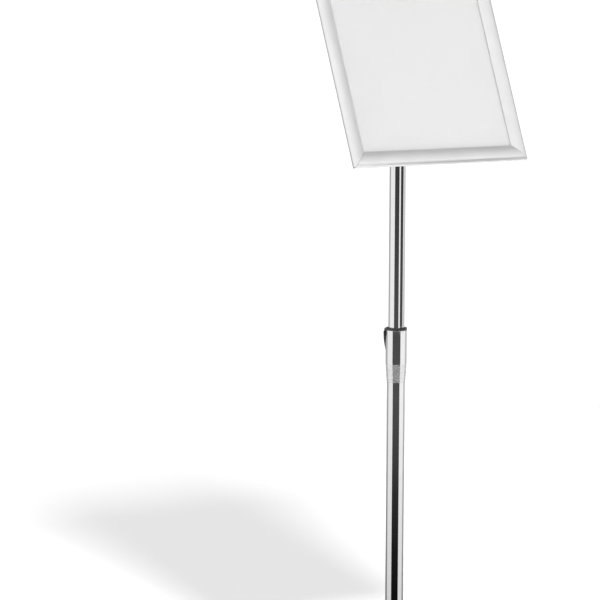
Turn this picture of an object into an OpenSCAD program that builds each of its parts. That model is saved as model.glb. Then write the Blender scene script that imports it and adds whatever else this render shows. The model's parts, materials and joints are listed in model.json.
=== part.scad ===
// Height-adjustable floor sign stand with a tilting, turning snap frame.
// Origin: on the floor, on the pole's centre line. +Z is up and the sign faces -Y.
// All sizes are in millimetres.

/* [Frame] */
// Outer width of the snap frame, upright format
frame_w = 327; // [240:1:420]
// Outer height of the snap frame, upright format
frame_h = 450; // [320:1:594]
// Lean of the frame back from upright, in degrees
frame_tilt = 22; // [5:0.5:60]
// Half the gap between two lids at a mitred corner
mitre_gap = 0.15; // [0.1:0.05:0.4]

/* [Pole] */
// Height of the clamp collar's top above the floor
collar_top = 630; // [560:5:900]
// Height of the tilt pivot above the collar's top
pivot_rise = 456; // [340:1:480]
// Outer diameter of the lower tube
lower_d = 28; // [28:0.5:29]
// Outer diameter of the upper tube
upper_d = 25; // [24.6:0.1:25]
// Wall of both tubes
tube_wall = 1.2; // [1:0.1:1.2]

/* [Base] */
// Side of the square base cover
base_side = 290; // [240:5:400]
// Radius of the base cover's corners
base_corner_r = 26; // [16:1:40]
// Thickness of the steel base weight
weight_t = 8; // [6:0.5:14]

/* [Hidden] */
$fn = 96;

big = 60;
hull_fn = 32;
thread_fit = 0.02;
loose_fit = 0.2;

// Base: feet, weight, cover and the bolt that holds the pole up
foot_h = 6;
foot_r = 11;
foot_inset = 30;
foot_at = base_side / 2 - foot_inset;
foot_recess_r = 5.5;
foot_recess_h = 3.6;
foot_screw_r = 2;
foot_screw_head_r = 4.2;
foot_screw_head_t = 2.2;
foot_screw_depth = 6;
weight_z = foot_h;
weight_top = weight_z + weight_t;
cover_t = 1.2;
cover_skirt_z = 3.5;
cover_shoulder_z = 9;
cover_bevel = 8;
cover_top = weight_top + cover_t;
weight_side = base_side - 2 * (cover_bevel + cover_t) - 0.4;
weight_corner_r = base_corner_r - 4;
weight_bolt_fit = 0.25;
cover_hole_fit = 0.4;
bolt_r = 4;
bolt_recess_r = 14;
bolt_recess_h = 4;
bolt_head_r = 7.5;
bolt_head_t = 5.3;
washer_t = 1.6;
washer_r = 12;
spring_washer_t = 2;
spring_washer_r = 7.2;
spring_washer_cut = 1;
bolt_seat_z = weight_z + bolt_recess_h;
washer_z = bolt_seat_z - washer_t;
spring_washer_z = washer_z - spring_washer_t;
bolt_head_z = spring_washer_z - bolt_head_t;
foot_plug_h = 30;
bolt_tip_z = weight_top + 22;
rosette_r = 30;
rosette_h = 8;
rosette_rim_h = 1.2;
rosette_gap = 0.1;

// Tubes
lower_r = lower_d / 2;
lower_bore_r = lower_r - tube_wall;
upper_r = upper_d / 2;
upper_bore_r = upper_r - tube_wall;
slide_fit = 0.06;
guide_r = upper_r + slide_fit;

// Clamp collar: sleeve, guide bush, cap, lever and brake shoe
cap_h = 4;
cap_r = 16.5;
cap_chamfer = 0.8;
cap_bottom = collar_top - cap_h;
sleeve_r = 16.4;
sleeve_straight = 52.5;
sleeve_cone = 28.5;
sleeve_edge = 0.4;
sleeve_gap = 0.05;
sleeve_shoulder_z = cap_bottom - sleeve_straight;
sleeve_z = sleeve_shoulder_z - sleeve_cone;
lower_top = sleeve_shoulder_z + 2.5;
spigot_h = 17;
spigot_z = cap_bottom - spigot_h;
bush_gap = 0.2;
pin_y = 18.6;
pin_z = collar_top - 4.6;
pin_r = 1.25;
pin_fit = 0.05;
ear_r = 2.7;
ear_inner_x = 5;
ear_outer_x = 8.2;
knuckle_r = 2.6;
knuckle_half = 4.7;
cam_r = 1.8;
cam_offset = 1.45;
cam_slot_z = collar_top - 11;
cam_slot_top = collar_top - 1.6;
shoe_half = 4.2;
shoe_back_y = 15.2;
shoe_face_r = 13.5;
shoe_z = collar_top - 13;
shoe_h = 10.5;
shoe_travel = 0.6;
shoe_side_play = 0.3;
pocket_play = 0.4;
lever_half_angle = 66;
lever_bottom = collar_top - 43;
lever_gap = 0.4;
lever_inner_r = sleeve_r + lever_gap;
lever_top_r = 20;
lever_toe_r = 18.3;
lever_top = collar_top - 3.6;
lever_shoulder_h = 2.2;
lever_shoulder_t = 0.8;
lever_side_h = 3.4;
lever_notch_x = 8.6;
lever_notch_z = collar_top - 7.8;
lever_tip_x = 6;
lever_neck_x = 16;
lever_neck_z = collar_top - 11;

// Upper tube, its lower guide plug and its head
max_rise = 30;
plug_flange_h = 8;
plug_spigot_h = 18;
plug_r = lower_bore_r - slide_fit;
plug_spigot_r = upper_bore_r - slide_fit;
upper_bottom = lower_top - max_rise;
pivot_z = collar_top + pivot_rise;
upper_top = pivot_z - 38;
head_spigot_h = 32;
head_spigot_r = upper_bore_r - 0.1;
head_collar_r = 13;
head_collar_h = 6;
head_pin_r = 2;
head_pin_z = upper_top - 16;
head_pin_inset = 0.3;
tongue_half = 5;
tongue_r = 12;
tongue_half_depth = 9;

// Tilt joint, measured along and across the frame's normal from the pivot
tilt_bolt_r = 4;
tilt_bolt_fit = 0.06;
tilt_bolt_head_r = 7.5;
tilt_bolt_head_t = 5.5;
tilt_bolt_reach = 21;
friction_t = 0.9;
friction_r = 11;
cheek_x = 6;
cheek_t = 4;
cheek_r = 12;
hub_back = 16;
hub_t = 4;
hub_r = 32;
hub_front = hub_back + hub_t;
knob_washer_t = 0.6;
knob_washer_r = 8.5;
knob_gap = 0.2;
knob_x = cheek_x + cheek_t + knob_washer_t + knob_gap;
knob_len = 18;
knob_neck = 5;
knob_hub_r = 9;
knob_core_r = 10.5;
knob_lobe_r = 4.3;
knob_lobes = 5;
insert_r = 6;
insert_len = 13;

// Turning joint between the hub and the frame's back
turn_spigot_r = 6;
turn_fit = 0.05;
turn_washer_gap = 0.05;
turn_friction_t = 1 - turn_washer_gap;
turn_friction_r = 20;
turn_back = hub_front + 1;
frame_back = turn_back + 6;
turn_boss_r = 32;
turn_boss_h = 4.8;
turn_flange_r = 48;
turn_flange_t = 2.5;
turn_web = 3.2;
turn_recess_r = 15;
turn_cap_r = 13;
turn_cap_t = 1.2;
turn_screw_r = 3;
turn_screw_head_r = 5.5;
turn_screw_head_t = 2.6;
turn_screw_tip = 14.5;
turn_screw_hex_r = 2.3;
turn_screw_hex_depth = 1.6;
turn_end_play = 0.1;
stop_pin_r = 2;
stop_radius = 24;
stop_play = 0.3;
stop_depth = 3;
stop_pin_angle = 225;
stop_pin_floor = 1;
stop_pin_gap = 0.2;
rivet_r = 2;
rivet_head_r = 4;
rivet_head_t = 1.4;
rivet_taper = 1;
rivet_circle_r = 41;
rivet_count = 4;

// Snap frame section: x is the distance in from the outer edge, y is the height above
// the frame's back plane
rail_w = 25;
dome_x = 8;
dome_h = 10;
lid_t = 1.3;
outer_dome_r = 9.5;
inner_dome_r = 30.39;
lip_z = 3.9;
hinge_x = 3;
hinge_h = 3.2;
bead_r = 1.2;
bead_fit = 0.06;
socket_r = 2.3;
socket_from = 190;
socket_to = 390;
skin_edge_angle = 140;
neck_angle = 60;
neck_t = 1.1;
neck_len = 6.5;
bead_setback = 4;
corner_trim = 1.6;
leg_x = 9.2;
leg_t = 1;
leg_z = 4.8;
floor_x = 1.85;
floor_end = 22;
floor_t = 1.3;
block_end = 4.4;
block_h = 1.9;
stop_wall_x = 11.8;
stop_wall_t = 1.2;
stop_wall_h = 4.4;
bracket_from = 5.8;
bracket_to = 11.4;
bracket_leg = 42;
bracket_t = 1.5;
spring_len = 24;
spring_t = 0.5;

// Sheets inside the frame
panel_inset = 13.5;
sheet_inset = 15;
panel_t = 1.6;
poster_t = 0.3;
cover_sheet_t = 0.5;

// ---------------------------------------------------------------- helpers

// A ring or tube standing on z
module ring(outer_r, inner_r, h, z = 0) {
    translate([0, 0, z])
        difference() {
            cylinder(r = outer_r, h = h);
            translate([0, 0, -1]) cylinder(r = inner_r, h = h + 2);
        }
}

// A cylinder along X from x0 to x1
module rod_x(r, x0, x1, sides = 96) {
    translate([x0, 0, 0]) rotate([0, 90, 0]) cylinder(r = r, h = x1 - x0, $fn = sides);
}

// A box given by its two corners
module slab(low, high) {
    translate(low) cube(high - low);
}

// A square with round corners, centred
module round_square(side, r) {
    square([side, side - 2 * r], center = true);
    square([side - 2 * r, side], center = true);
    for (x = [-1, 1], y = [-1, 1])
        translate([x * (side / 2 - r), y * (side / 2 - r)]) circle(r = r);
}

// Four upright posts at the corners of a round square, for a hull
module corner_posts(side, r, z, h) {
    for (x = [-1, 1], y = [-1, 1])
        translate([x * (side / 2 - r), y * (side / 2 - r), z])
            cylinder(r = r, h = h, $fn = hull_fn);
}

module at_feet() {
    for (x = [-1, 1], y = [-1, 1])
        translate([x * foot_at, y * foot_at, 0]) children();
}

// The frame's own space: origin on the pivot, Y up the frame, Z out of its face
module frame_space() {
    translate([0, 0, pivot_z]) rotate([90 - frame_tilt, 0, 0]) children();
}

// The same space with Z = 0 on the frame's back plane
module panel_space() {
    frame_space() translate([0, 0, frame_back]) children();
}

// ---------------------------------------------------------------- base

module base_weight() {
    color("dimgray")
        difference() {
            translate([0, 0, weight_z])
                linear_extrude(weight_t) round_square(weight_side, weight_corner_r);
            translate([0, 0, weight_z - 1]) cylinder(r = bolt_recess_r, h = bolt_recess_h + 1);
            translate([0, 0, weight_z]) cylinder(r = bolt_r + weight_bolt_fit, h = weight_t + 1);
            at_feet()
                translate([0, 0, weight_z - 1])
                    cylinder(r = foot_screw_r + thread_fit, h = foot_screw_depth + 1);
        }
}

module base_cover() {
    top_side = base_side - 2 * cover_bevel;
    top_r = base_corner_r - cover_bevel / 2;
    color("silver")
        difference() {
            hull() {
                corner_posts(base_side, base_corner_r, cover_skirt_z,
                             cover_shoulder_z - cover_skirt_z);
                corner_posts(top_side, top_r, cover_top - 1, 1);
            }
            hull() {
                corner_posts(base_side - 2 * cover_t, base_corner_r - cover_t,
                             cover_skirt_z - 1, cover_shoulder_z - cover_skirt_z + 0.6);
                corner_posts(top_side - 2 * cover_t, top_r - cover_t, weight_top - 1, 1);
            }
            cylinder(r = lower_r + cover_hole_fit, h = big);
        }
}

module rubber_feet() {
    color("black")
        at_feet()
            difference() {
                rotate_extrude()
                    polygon([[0, 0], [foot_r - 1, 0], [foot_r, 1], [foot_r - 1, foot_h],
                             [0, foot_h]]);
                translate([0, 0, -1]) cylinder(r = foot_recess_r, h = foot_recess_h + 1);
                cylinder(r = foot_screw_r + thread_fit, h = foot_h + 1);
            }
}

module foot_screws() {
    head_z = foot_recess_h - foot_screw_head_t;
    color("gray")
        at_feet() {
            translate([0, 0, head_z]) cylinder(r = foot_screw_head_r, h = foot_screw_head_t);
            translate([0, 0, foot_recess_h])
                cylinder(r = foot_screw_r, h = weight_z + foot_screw_depth - foot_recess_h);
        }
}

module base_bolt() {
    color("silver") {
        translate([0, 0, bolt_head_z]) cylinder(r = bolt_head_r, h = bolt_head_t, $fn = 6);
        translate([0, 0, spring_washer_z]) cylinder(r = bolt_r, h = bolt_tip_z - spring_washer_z);
    }
}

module base_washer() {
    color("lightgray") ring(washer_r, bolt_r + loose_fit, washer_t, washer_z);
}

// One turn of square wire with a cut across it
module spring_washer() {
    color("gray")
        difference() {
            ring(spring_washer_r, bolt_r + loose_fit, spring_washer_t, spring_washer_z);
            translate([0, -spring_washer_cut / 2, spring_washer_z - 1])
                cube([big, spring_washer_cut, spring_washer_t + 2]);
        }
}

module tube_foot_plug() {
    color("gray")
        difference() {
            translate([0, 0, weight_top]) cylinder(r = lower_bore_r - 0.05, h = foot_plug_h);
            translate([0, 0, weight_top - 1])
                cylinder(r = bolt_r + thread_fit, h = foot_plug_h + 2);
        }
}

module base_rosette() {
    color("silver")
        translate([0, 0, cover_top])
            rotate_extrude()
                polygon([[lower_r + rosette_gap, 0], [rosette_r, 0],
                         [rosette_r, rosette_rim_h], [rosette_r - 3, rosette_h - 5],
                         [lower_r + 5, rosette_h - 2.5], [lower_r + 2, rosette_h],
                         [lower_r + rosette_gap, rosette_h]]);
}

// ---------------------------------------------------------------- pole and collar

module lower_tube() {
    color("silver")
        ring(lower_r, lower_bore_r, lower_top - weight_top, weight_top);
}

module clamp_sleeve() {
    bore_r = lower_r + sleeve_gap;
    color("silver")
        difference() {
            rotate_extrude()
                polygon([[bore_r, sleeve_z], [bore_r + sleeve_edge, sleeve_z],
                         [sleeve_r, sleeve_shoulder_z], [sleeve_r, cap_bottom],
                         [bore_r, cap_bottom]]);
            slab([-ear_inner_x, 0, shoe_z - pocket_play], [ear_inner_x, 20, cap_bottom + 1]);
        }
}

module guide_bush() {
    color("white") ring(lower_r, guide_r, spigot_z - bush_gap - lower_top, lower_top);
}

module collar_cap() {
    color("black")
        difference() {
            union() {
                rotate_extrude()
                    polygon([[guide_r, spigot_z], [lower_r, spigot_z], [lower_r, cap_bottom],
                             [cap_r, cap_bottom], [cap_r, collar_top - cap_chamfer],
                             [cap_r - cap_chamfer, collar_top],
                             [guide_r + cap_chamfer / 2, collar_top],
                             [guide_r, collar_top - cap_chamfer / 2]]);
                for (side = [-1, 1]) cap_ear(side);
            }
            slab([-ear_inner_x, shoe_back_y - 0.2, cam_slot_z],
                 [ear_inner_x, big, cam_slot_top]);
            slab([-shoe_half - shoe_side_play, 5, shoe_z - pocket_play],
                 [shoe_half + shoe_side_play, shoe_back_y + shoe_travel + shoe_side_play,
                  shoe_z + shoe_h + pocket_play]);
            translate([0, pin_y, pin_z]) rod_x(pin_r, -big, big);
        }
}

// One of the two ears that hold the lever's pin
module cap_ear(side) {
    x0 = side > 0 ? ear_inner_x : -ear_outer_x;
    x1 = side > 0 ? ear_outer_x : -ear_inner_x;
    translate([0, pin_y, pin_z]) rod_x(ear_r, x0, x1);
    slab([x0, lower_r + 0.5, cap_bottom], [x1, pin_y, pin_z + ear_r]);
}

module lever_pin() {
    color("silver")
        translate([0, pin_y, pin_z]) rod_x(pin_r, -ear_outer_x, ear_outer_x);
}

// A paddle that wraps the back of the sleeve, with a cam knuckle on the pin
module clamp_lever() {
    color("black")
        difference() {
            union() {
                difference() {
                    intersection() {
                        lever_wall();
                        lever_outline();
                    }
                    for (side = [-1, 1]) ear_notch(side);
                }
                translate([0, pin_y, pin_z]) rod_x(knuckle_r, -knuckle_half, knuckle_half);
                translate([0, pin_y - cam_offset, pin_z])
                    rod_x(cam_r, -knuckle_half, knuckle_half);
            }
            translate([0, pin_y, pin_z]) rod_x(pin_r + pin_fit, -big, big);
        }
}

// The paddle's tapering wall
module lever_wall() {
    rotate([0, 0, 90 - lever_half_angle])
        rotate_extrude(angle = 2 * lever_half_angle)
            polygon([[lever_inner_r, lever_bottom], [lever_toe_r, lever_bottom],
                     [lever_top_r, lever_top - lever_side_h],
                     [lever_top_r - lever_shoulder_t, lever_top - lever_shoulder_h],
                     [lever_inner_r + lever_shoulder_t, lever_top],
                     [lever_inner_r, lever_top]]);
}

// Outline of the paddle seen from behind: wide at the pin and narrow at the tip
module lever_outline() {
    top = lever_top + 1;
    translate([0, big, 0])
        rotate([90, 0, 0])
            linear_extrude(big)
                polygon([[-lever_tip_x, lever_bottom - 1], [lever_tip_x, lever_bottom - 1],
                         [lever_neck_x, lever_neck_z], [2 * lever_neck_x, top],
                         [-2 * lever_neck_x, top], [-lever_neck_x, lever_neck_z]]);
}

module ear_notch(side) {
    x0 = side > 0 ? knuckle_half : -lever_notch_x;
    x1 = side > 0 ? lever_notch_x : -knuckle_half;
    slab([x0, 0, lever_notch_z], [x1, big, collar_top]);
}

module brake_shoe() {
    color("silver")
        difference() {
            slab([-shoe_half, 10, shoe_z], [shoe_half, shoe_back_y, shoe_z + shoe_h]);
            translate([0, 0, shoe_z - 1]) cylinder(r = shoe_face_r, h = shoe_h + 2);
        }
}

module brake_pad() {
    color("dimgray")
        intersection() {
            ring(shoe_face_r, guide_r, shoe_h, shoe_z);
            slab([-shoe_half, 0, shoe_z], [shoe_half, 20, shoe_z + shoe_h]);
        }
}

// ---------------------------------------------------------------- mast

module lower_guide_plug() {
    color("white") {
        translate([0, 0, upper_bottom - plug_flange_h]) cylinder(r = plug_r, h = plug_flange_h);
        translate([0, 0, upper_bottom]) cylinder(r = plug_spigot_r, h = plug_spigot_h);
    }
}

module upper_tube() {
    color("silver")
        difference() {
            ring(upper_r, upper_bore_r, upper_top - upper_bottom, upper_bottom);
            translate([0, 0, head_pin_z]) rod_x(head_pin_r + thread_fit, -big, big);
        }
}

module mast_head() {
    color("dimgray")
        difference() {
            union() {
                translate([0, 0, upper_top - head_spigot_h])
                    cylinder(r = head_spigot_r, h = head_spigot_h);
                translate([0, 0, upper_top]) cylinder(r = head_collar_r, h = head_collar_h);
                slab([-tongue_half, -tongue_half_depth, upper_top + head_collar_h - 1],
                     [tongue_half, tongue_half_depth, pivot_z]);
                translate([0, 0, pivot_z]) rod_x(tongue_r, -tongue_half, tongue_half);
            }
            translate([0, 0, pivot_z]) rod_x(tilt_bolt_r + tilt_bolt_fit, -big, big);
            translate([0, 0, head_pin_z]) rod_x(head_pin_r + thread_fit, -big, big);
        }
}

module head_cross_pin() {
    color("silver")
        translate([0, 0, head_pin_z])
            rod_x(head_pin_r, -upper_r + head_pin_inset, upper_r - head_pin_inset);
}

// ---------------------------------------------------------------- tilt head

module tilt_yoke() {
    color("dimgray")
        frame_space()
            difference() {
                union() {
                    for (side = [-1, 1]) yoke_cheek(side);
                    translate([0, 0, hub_back]) cylinder(r = hub_r, h = hub_t);
                    translate([0, 0, hub_front])
                        cylinder(r = turn_spigot_r, h = 1 + turn_web + turn_end_play);
                }
                rod_x(tilt_bolt_r + tilt_bolt_fit, -big, big);
                translate([0, 0, turn_screw_tip])
                    cylinder(r = turn_screw_r + thread_fit, h = big);
                at_stop_pin()
                    translate([0, 0, hub_back + stop_pin_floor])
                        cylinder(r = stop_pin_r + thread_fit, h = big);
            }
}

module yoke_cheek(side) {
    x0 = side > 0 ? cheek_x : -cheek_x - cheek_t;
    rod_x(cheek_r, x0, x0 + cheek_t);
    slab([x0, -cheek_r, 0], [x0 + cheek_t, cheek_r, hub_back + 1]);
}

module at_stop_pin() {
    rotate([0, 0, stop_pin_angle]) translate([stop_radius, 0, 0]) children();
}

module tilt_bolt() {
    head_x = -cheek_x - cheek_t;
    color("silver")
        frame_space() {
            rod_x(tilt_bolt_head_r, head_x - tilt_bolt_head_t, head_x, sides = 6);
            rod_x(tilt_bolt_r, head_x, tilt_bolt_reach);
        }
}

module friction_washers() {
    color("white")
        frame_space()
            for (x0 = [cheek_x - friction_t, -cheek_x])
                difference() {
                    rod_x(friction_r, x0, x0 + friction_t);
                    rod_x(tilt_bolt_r + loose_fit, -big, big);
                }
}

module knob_washer() {
    x0 = cheek_x + cheek_t;
    color("lightgray")
        frame_space()
            difference() {
                rod_x(knob_washer_r, x0, x0 + knob_washer_t);
                rod_x(tilt_bolt_r + loose_fit, -big, big);
            }
}

module tilt_knob() {
    color("black")
        frame_space()
            translate([knob_x, 0, 0])
                rotate([0, 90, 0])
                    difference() {
                        union() {
                            cylinder(r = knob_hub_r, h = knob_len);
                            translate([0, 0, knob_neck])
                                linear_extrude(knob_len - knob_neck) knob_star();
                        }
                        translate([0, 0, -1]) cylinder(r = insert_r, h = insert_len + 1);
                    }
}

// Five round lobes on a round core
module knob_star() {
    circle(r = knob_core_r);
    for (i = [0 : knob_lobes - 1])
        rotate((i + 0.5) * 360 / knob_lobes) translate([knob_core_r, 0]) circle(r = knob_lobe_r);
}

module knob_insert() {
    color("gold")
        frame_space()
            difference() {
                rod_x(insert_r, knob_x, knob_x + insert_len);
                rod_x(tilt_bolt_r + tilt_bolt_fit, knob_x - 1, tilt_bolt_reach + 1);
            }
}

// ---------------------------------------------------------------- turning joint

module turn_stop_pin() {
    color("silver")
        frame_space()
            at_stop_pin()
                translate([0, 0, hub_back + stop_pin_floor])
                    cylinder(r = stop_pin_r,
                             h = turn_back + stop_depth - hub_back - stop_pin_floor
                                 - stop_pin_gap);
}

module turn_friction_washer() {
    color("white")
        frame_space()
            ring(turn_friction_r, turn_spigot_r + loose_fit, turn_friction_t, hub_front);
}

module turn_washer() {
    color("lightgray")
        frame_space()
            ring(turn_cap_r, turn_screw_r + loose_fit, turn_cap_t,
                 turn_back + turn_web + turn_end_play);
}

module turn_screw() {
    head_z = turn_back + turn_web + turn_end_play + turn_cap_t;
    color("silver")
        frame_space()
            difference() {
                union() {
                    translate([0, 0, turn_screw_tip])
                        cylinder(r = turn_screw_r, h = head_z - turn_screw_tip);
                    translate([0, 0, head_z])
                        cylinder(r = turn_screw_head_r, h = turn_screw_head_t);
                }
                translate([0, 0, head_z + turn_screw_head_t - turn_screw_hex_depth])
                    cylinder(r = turn_screw_hex_r, h = big, $fn = 6);
            }
}

// Round plate on the frame's back, with an arc slot that stops it at the two formats
module turn_plate() {
    slot_half = stop_pin_r + stop_play;
    play_angle = asin(stop_play / stop_radius);
    color("dimgray")
        frame_space()
            translate([0, 0, turn_back])
                difference() {
                    union() {
                        cylinder(r = turn_boss_r, h = turn_boss_h);
                        translate([0, 0, turn_boss_h])
                            cylinder(r = turn_flange_r, h = turn_flange_t);
                    }
                    translate([0, 0, -1]) cylinder(r = turn_spigot_r + turn_fit, h = big);
                    translate([0, 0, turn_web]) cylinder(r = turn_recess_r, h = big);
                    translate([0, 0, -1])
                        rotate([0, 0, stop_pin_angle - 90 - play_angle])
                            rotate_extrude(angle = 90 + 2 * play_angle)
                                translate([stop_radius - slot_half, 0])
                                    square([2 * slot_half, stop_depth + 1]);
                    for (end = [0, 90])
                        rotate([0, 0, stop_pin_angle - end])
                            translate([stop_radius, 0, -1])
                                cylinder(r = slot_half, h = stop_depth + 1);
                    at_rivets() translate([0, 0, -1]) cylinder(r = rivet_r + thread_fit, h = big);
                }
}

module at_rivets() {
    for (i = [0 : rivet_count - 1])
        rotate([0, 0, 45 + i * 360 / rivet_count])
            translate([rivet_circle_r, 0, 0]) children();
}

module plate_rivets() {
    flange_back = turn_back + turn_boss_h;
    color("silver")
        frame_space()
            at_rivets() {
                translate([0, 0, flange_back - rivet_head_t])
                    cylinder(r1 = rivet_head_r - rivet_taper, r2 = rivet_head_r,
                             h = rivet_head_t);
                translate([0, 0, flange_back])
                    cylinder(r = rivet_r, h = turn_flange_t + panel_t);
            }
}

// ---------------------------------------------------------------- snap frame

// A sheet inside the frame, inset from its outer edges
module sheet(inset, t, z) {
    size = [frame_w - 2 * inset, frame_h - 2 * inset, t];
    translate([-size.x / 2, -size.y / 2, z]) cube(size);
}

module back_panel() {
    color("darkgray")
        panel_space()
            difference() {
                sheet(panel_inset, panel_t, floor_t);
                at_rivets() cylinder(r = rivet_r + thread_fit, h = big);
            }
}

module poster_sheet() {
    color("white") panel_space() sheet(sheet_inset, poster_t, floor_t + panel_t);
}

module cover_sheet() {
    color("whitesmoke")
        panel_space() sheet(sheet_inset, cover_sheet_t, floor_t + panel_t + poster_t);
}

// The wedge between two directions from the origin, for cutting a section
module wedge(from_angle, to_angle) {
    steps = 6;
    polygon(concat([[0, 0]],
                   [for (i = [0 : steps])
                        let (a = from_angle + (to_angle - from_angle) * i / steps)
                            big * [cos(a), sin(a)]]));
}

// Section of the base profile: floor, hinge socket and the wall that stops the sheets
module base_section() {
    difference() {
        union() {
            translate([floor_x, 0]) square([floor_end - floor_x, floor_t]);
            translate([floor_x, 0]) square([block_end - floor_x, block_h]);
            translate([stop_wall_x, 0]) square([stop_wall_t, stop_wall_h]);
            translate([hinge_x, hinge_h])
                difference() {
                    circle(r = socket_r);
                    wedge(socket_to - 360, socket_from);
                }
        }
        translate([hinge_x, hinge_h]) circle(r = bead_r + bead_fit);
    }
}

// Section of the lid's domed skin: a tight outer curve and a flat inner curve that share
// a tangent at the crown, with the snap leg underneath
module lid_skin_section() {
    difference() {
        intersection() {
            translate([dome_x, dome_h - outer_dome_r]) circle(r = outer_dome_r);
            translate([hinge_x, hinge_h]) wedge(0, skin_edge_angle);
            translate([-1, 0]) square([dome_x + 1, dome_h + 1]);
        }
        translate([dome_x, dome_h - outer_dome_r]) circle(r = outer_dome_r - lid_t);
    }
    difference() {
        intersection() {
            translate([dome_x, dome_h - inner_dome_r]) circle(r = inner_dome_r, $fn = 192);
            translate([dome_x, lip_z]) square([rail_w - dome_x, dome_h]);
        }
        translate([dome_x, dome_h - inner_dome_r])
            circle(r = inner_dome_r - lid_t, $fn = 192);
    }
    translate([leg_x, leg_z]) square([leg_t, dome_h - leg_z - lid_t / 2]);
}

// Section of the bead that turns in the base profile's socket, and its neck
module lid_bead_section() {
    translate([hinge_x, hinge_h]) {
        circle(r = bead_r);
        rotate(neck_angle) translate([0, -neck_t / 2]) square([neck_len, neck_t]);
    }
}

// Extrude a section along X, centred, with its x running along +Y and its y along +Z
module along_rail(len) {
    rotate([90, 0, 90]) linear_extrude(len, center = true) children();
}

// A prism whose ends are mitred at 45 degrees, each set back by gap, with the outer
// corners trimmed off square
module mitre_prism(len, gap, trim) {
    depth = rail_w + 1;
    translate([0, 0, -1])
        linear_extrude(dome_h + 3)
            polygon([[-len / 2 + trim + gap, -1], [len / 2 - trim - gap, -1],
                     [len / 2 - trim - gap, trim], [len / 2 - depth - gap, depth],
                     [-len / 2 + depth + gap, depth], [-len / 2 + trim + gap, trim]]);
}

// Put a rail made along X onto one side of the frame
module on_side(side) {
    turn = side == "bottom" ? 0 : side == "right" ? 90 : side == "top" ? 180 : 270;
    out = side == "bottom" || side == "top" ? frame_h / 2 : frame_w / 2;
    panel_space() rotate([0, 0, turn]) translate([0, -out, 0]) children();
}

function side_len(side) = side == "bottom" || side == "top" ? frame_w : frame_h;

module base_rail(side) {
    len = side_len(side);
    color("silver")
        on_side(side)
            intersection() {
                along_rail(len) base_section();
                mitre_prism(len, 0, 0);
            }
}

module lid(side) {
    len = side_len(side);
    color("gainsboro")
        on_side(side) {
            intersection() {
                along_rail(len) lid_skin_section();
                mitre_prism(len, mitre_gap, corner_trim);
            }
            along_rail(len - 2 * (hinge_x + bead_setback)) lid_bead_section();
        }
}

module base_rail_bottom() { base_rail("bottom"); }
module base_rail_top() { base_rail("top"); }
module base_rail_left() { base_rail("left"); }
module base_rail_right() { base_rail("right"); }
module lid_bottom() { lid("bottom"); }
module lid_top() { lid("top"); }
module lid_left() { lid("left"); }
module lid_right() { lid("right"); }

// Four flat angles that join the base profiles at the corners
module corner_brackets() {
    reach = bracket_from + bracket_leg;
    color("gray")
        panel_space()
            for (x = [-1, 1], y = [-1, 1])
                scale([x, y, 1])
                    translate([-frame_w / 2, -frame_h / 2, floor_t])
                        linear_extrude(bracket_t)
                            polygon([[bracket_from, bracket_from], [reach, bracket_from],
                                     [reach, bracket_to], [bracket_to, bracket_to],
                                     [bracket_to, reach], [bracket_from, reach]]);
}

// Bent leaf springs that snap the lids open and shut, two to a side
module snap_springs() {
    foot_a = bracket_from;
    foot_b = stop_wall_x - 3.4;
    top = [foot_b - 0.6, stop_wall_h - 0.1];
    color("lightgray")
        for (side = ["bottom", "right", "top", "left"])
            on_side(side)
                for (end = [-1, 1])
                    translate([end * side_len(side) / 4, 0, 0])
                        along_rail(spring_len)
                            polygon([[foot_a, floor_t], [foot_b, floor_t],
                                     [foot_b, floor_t + spring_t],
                                     [foot_a + 2 * spring_t, floor_t + spring_t],
                                     top, [top.x - spring_t, top.y + spring_t / 2],
                                     [foot_a, floor_t + 2 * spring_t]]);
}

// ---------------------------------------------------------------- output

base_weight();
base_cover();
rubber_feet();
foot_screws();
base_bolt();
base_washer();
spring_washer();
tube_foot_plug();
base_rosette();
lower_tube();
clamp_sleeve();
guide_bush();
collar_cap();
lever_pin();
clamp_lever();
brake_shoe();
brake_pad();
lower_guide_plug();
upper_tube();
mast_head();
head_cross_pin();
tilt_yoke();
tilt_bolt();
friction_washers();
knob_washer();
tilt_knob();
knob_insert();
turn_stop_pin();
turn_friction_washer();
turn_screw();
turn_washer();
turn_plate();
plate_rivets();
back_panel();
base_rail_bottom();
base_rail_top();
base_rail_left();
base_rail_right();
corner_brackets();
snap_springs();
poster_sheet();
cover_sheet();
lid_bottom();
lid_top();
lid_left();
lid_right();
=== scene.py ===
"""Looks of a telescopic floor sign stand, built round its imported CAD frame."""

import json
import math

import bmesh
import bpy
from mathutils import Matrix, Vector


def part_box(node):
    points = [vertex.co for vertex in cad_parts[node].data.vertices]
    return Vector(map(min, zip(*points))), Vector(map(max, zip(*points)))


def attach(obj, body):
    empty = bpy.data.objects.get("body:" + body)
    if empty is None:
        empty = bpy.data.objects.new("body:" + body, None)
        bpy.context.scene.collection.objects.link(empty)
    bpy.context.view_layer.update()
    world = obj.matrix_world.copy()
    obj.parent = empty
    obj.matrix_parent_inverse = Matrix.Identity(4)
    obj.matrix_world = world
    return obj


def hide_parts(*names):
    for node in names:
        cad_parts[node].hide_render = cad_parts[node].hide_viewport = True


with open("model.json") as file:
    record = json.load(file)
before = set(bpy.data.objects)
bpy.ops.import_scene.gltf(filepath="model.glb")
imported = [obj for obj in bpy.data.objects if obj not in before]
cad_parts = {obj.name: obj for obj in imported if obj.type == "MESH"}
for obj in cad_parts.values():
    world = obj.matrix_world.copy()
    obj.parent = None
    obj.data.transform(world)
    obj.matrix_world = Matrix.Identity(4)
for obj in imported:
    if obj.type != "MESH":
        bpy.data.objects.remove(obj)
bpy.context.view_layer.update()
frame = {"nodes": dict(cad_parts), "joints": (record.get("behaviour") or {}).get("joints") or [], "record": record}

MM = 0.001

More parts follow.
